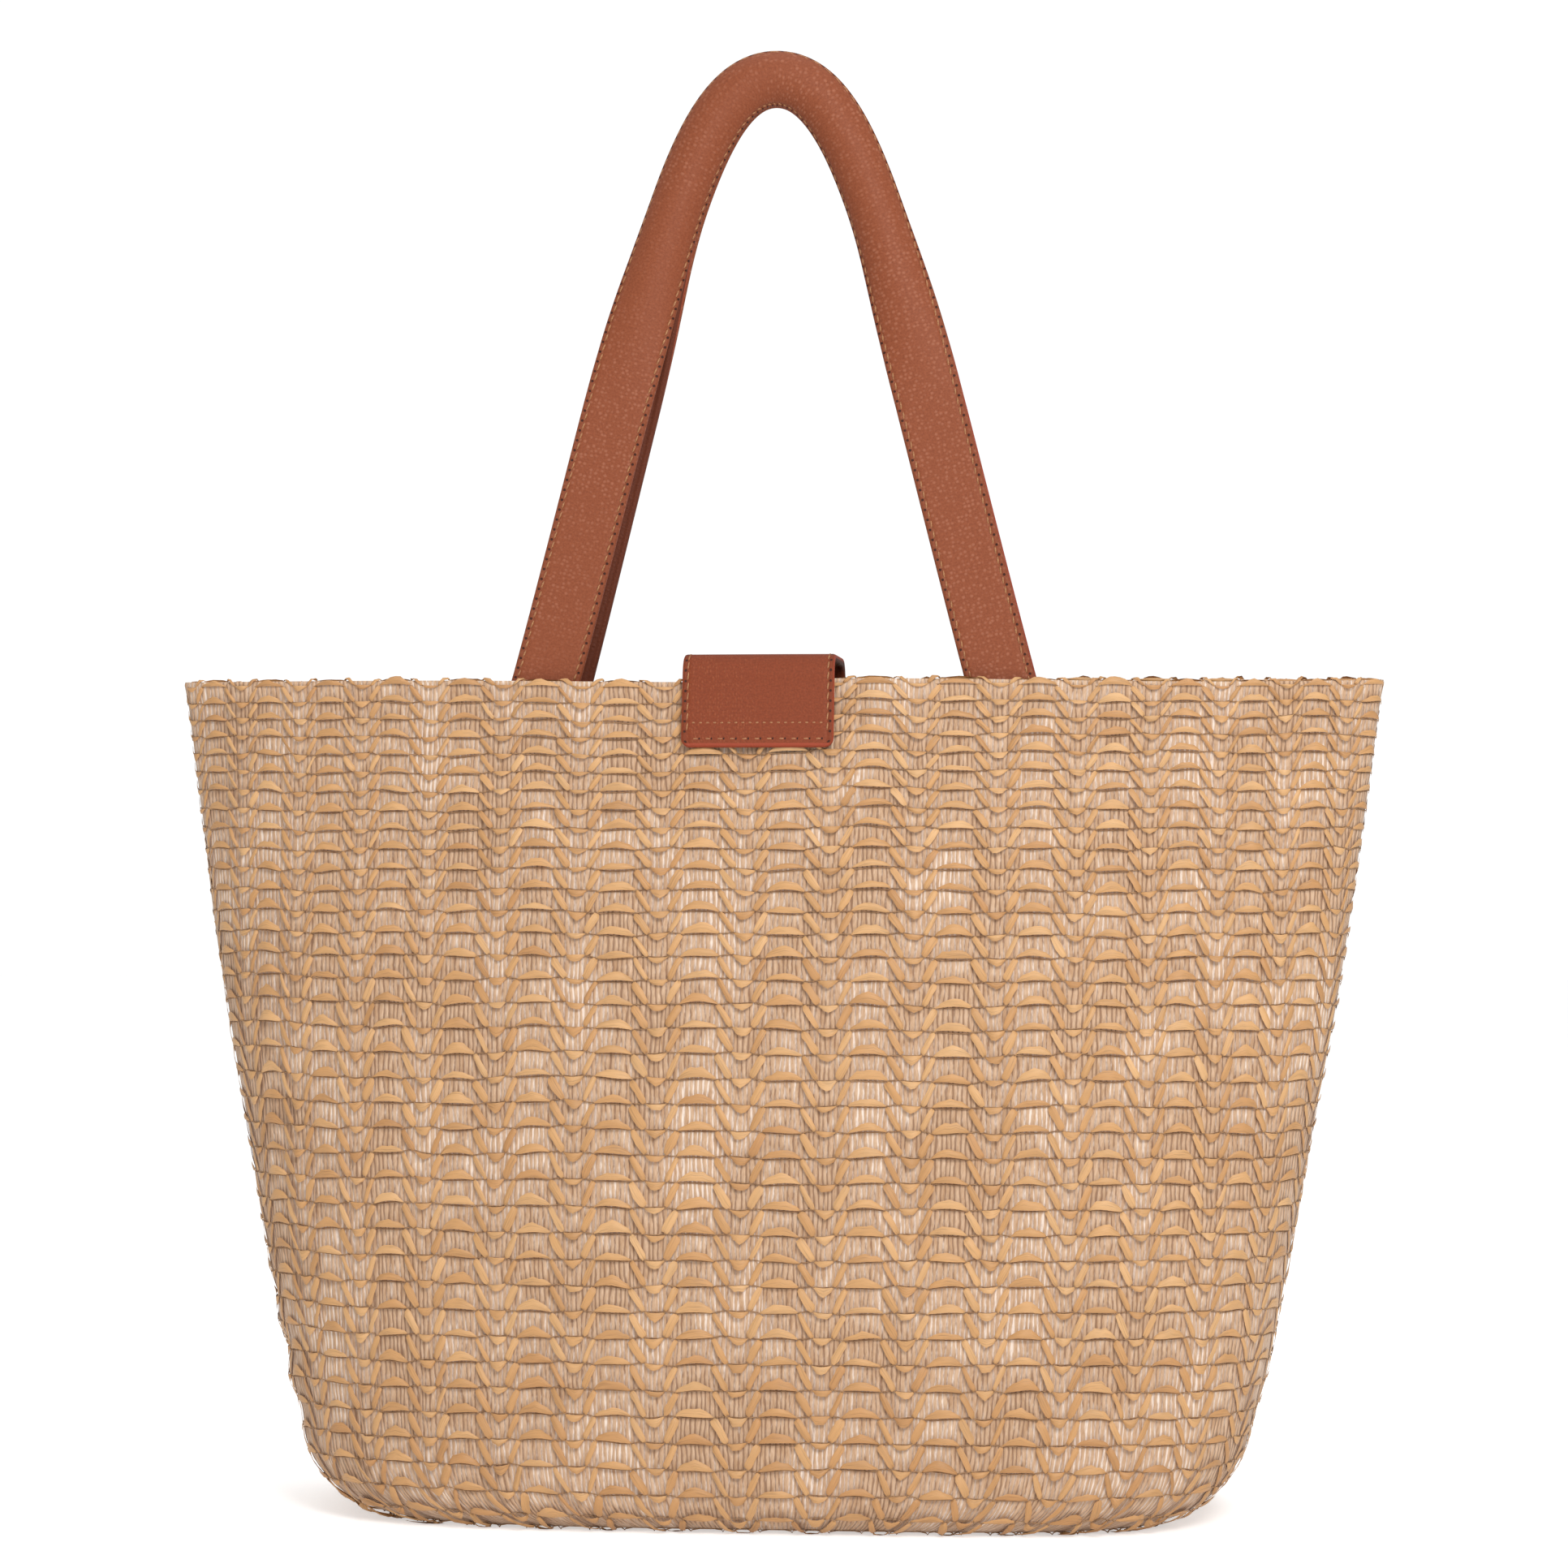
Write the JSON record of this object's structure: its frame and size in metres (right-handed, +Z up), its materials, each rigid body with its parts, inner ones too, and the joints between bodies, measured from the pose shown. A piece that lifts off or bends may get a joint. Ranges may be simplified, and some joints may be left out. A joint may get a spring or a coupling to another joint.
{
  "type": "beach bag",
  "caption": "Woven straw tote with a tapering body, two tall leather strap handles, a snap tab over the mouth and lined inner pockets.",
  "frame": {"origin": "centre of the flat base, on the ground", "axes": "+Z up, X along the bag's width, -Y the side that the closing tab is sewn to (the back), +Y the side it snaps to (the front)"},
  "size_m": [0.4498, 0.1364, 0.5421],
  "materials": {
    "straw_weave": "matt woven raffia and jute",
    "strap_leather": "pebbled, satin",
    "backing_leather": "smooth, satin",
    "lining_cloth": "matt cotton",
    "facing_cloth": "matt canvas",
    "base_fibreboard": "matt",
    "zip_tape_cloth": "matt woven tape",
    "snap_brass": "brushed, lacquered"
  },
  "bodies": {
    "bag": {"back_panel": "straw_weave", "front_panel": "straw_weave", "side_seam_bindings": "facing_cloth", "mouth_facing": "facing_cloth", "lining": "lining_cloth", "base_board": "base_fibreboard", "back_strap_face_ends": "strap_leather", "back_strap_backing_ends": "backing_leather", "front_strap_face_ends": "strap_leather", "front_strap_backing_ends": "backing_leather", "tab_sewn_face": "strap_leather", "tab_sewn_backing": "backing_leather", "snap_socket": "snap_brass", "snap_socket_washer": "snap_brass", "zip_pocket_panel": "lining_cloth", "zip_tape_upper": "zip_tape_cloth", "zip_tape_lower": "zip_tape_cloth", "zip_teeth": "snap_brass", "zip_end_stops": "snap_brass", "slip_pocket": "lining_cloth", "slip_pocket_hem": "facing_cloth"},
    "back_handle": {"back_strap_face_loop": "strap_leather", "back_strap_backing_loop": "backing_leather"},
    "front_handle": {"front_strap_face_loop": "strap_leather", "front_strap_backing_loop": "backing_leather"},
    "tab_bridge": {"tab_bridge_face": "strap_leather", "tab_bridge_backing": "backing_leather"},
    "tab_end": {"tab_end_face": "strap_leather", "tab_end_backing": "backing_leather", "snap_stud": "snap_brass", "snap_stud_washer": "snap_brass"},
    "zip_slider": {"zip_slider": "snap_brass"},
    "zip_pull": {"zip_pull": "snap_brass"}
  },
  "joints": [
    {"name": "back_handle_fold", "type": "hinge", "parent": "bag", "child": "back_handle", "pos_m": [0, -0.021, 0.3065], "axis": [1, 0, 0], "range_deg": [0, 168]},
    {"name": "front_handle_fold", "type": "hinge", "parent": "bag", "child": "front_handle", "pos_m": [0, 0.021, 0.3065], "axis": [-1, 0, 0], "range_deg": [0, 168]},
    {"name": "tab_lift", "type": "hinge", "parent": "bag", "child": "tab_bridge", "pos_m": [0, -0.0278, 0.307], "axis": [1, 0, 0], "range_deg": [0, 155]},
    {"name": "tab_peel", "type": "hinge", "parent": "tab_bridge", "child": "tab_end", "pos_m": [0, 0.0278, 0.307], "axis": [1, 0, 0], "range_deg": [0, 60]},
    {"name": "zip_run", "type": "slide", "parent": "bag", "child": "zip_slider", "axis": [-1, 0, 0], "range_m": [0, 0.14]},
    {"name": "zip_pull_swing", "type": "hinge", "parent": "zip_slider", "child": "zip_pull", "pos_m": [0.072, -0.02899, 0.21525], "axis": [0, -0.1784, -0.984], "range_deg": [0, 165]}
  ]
}
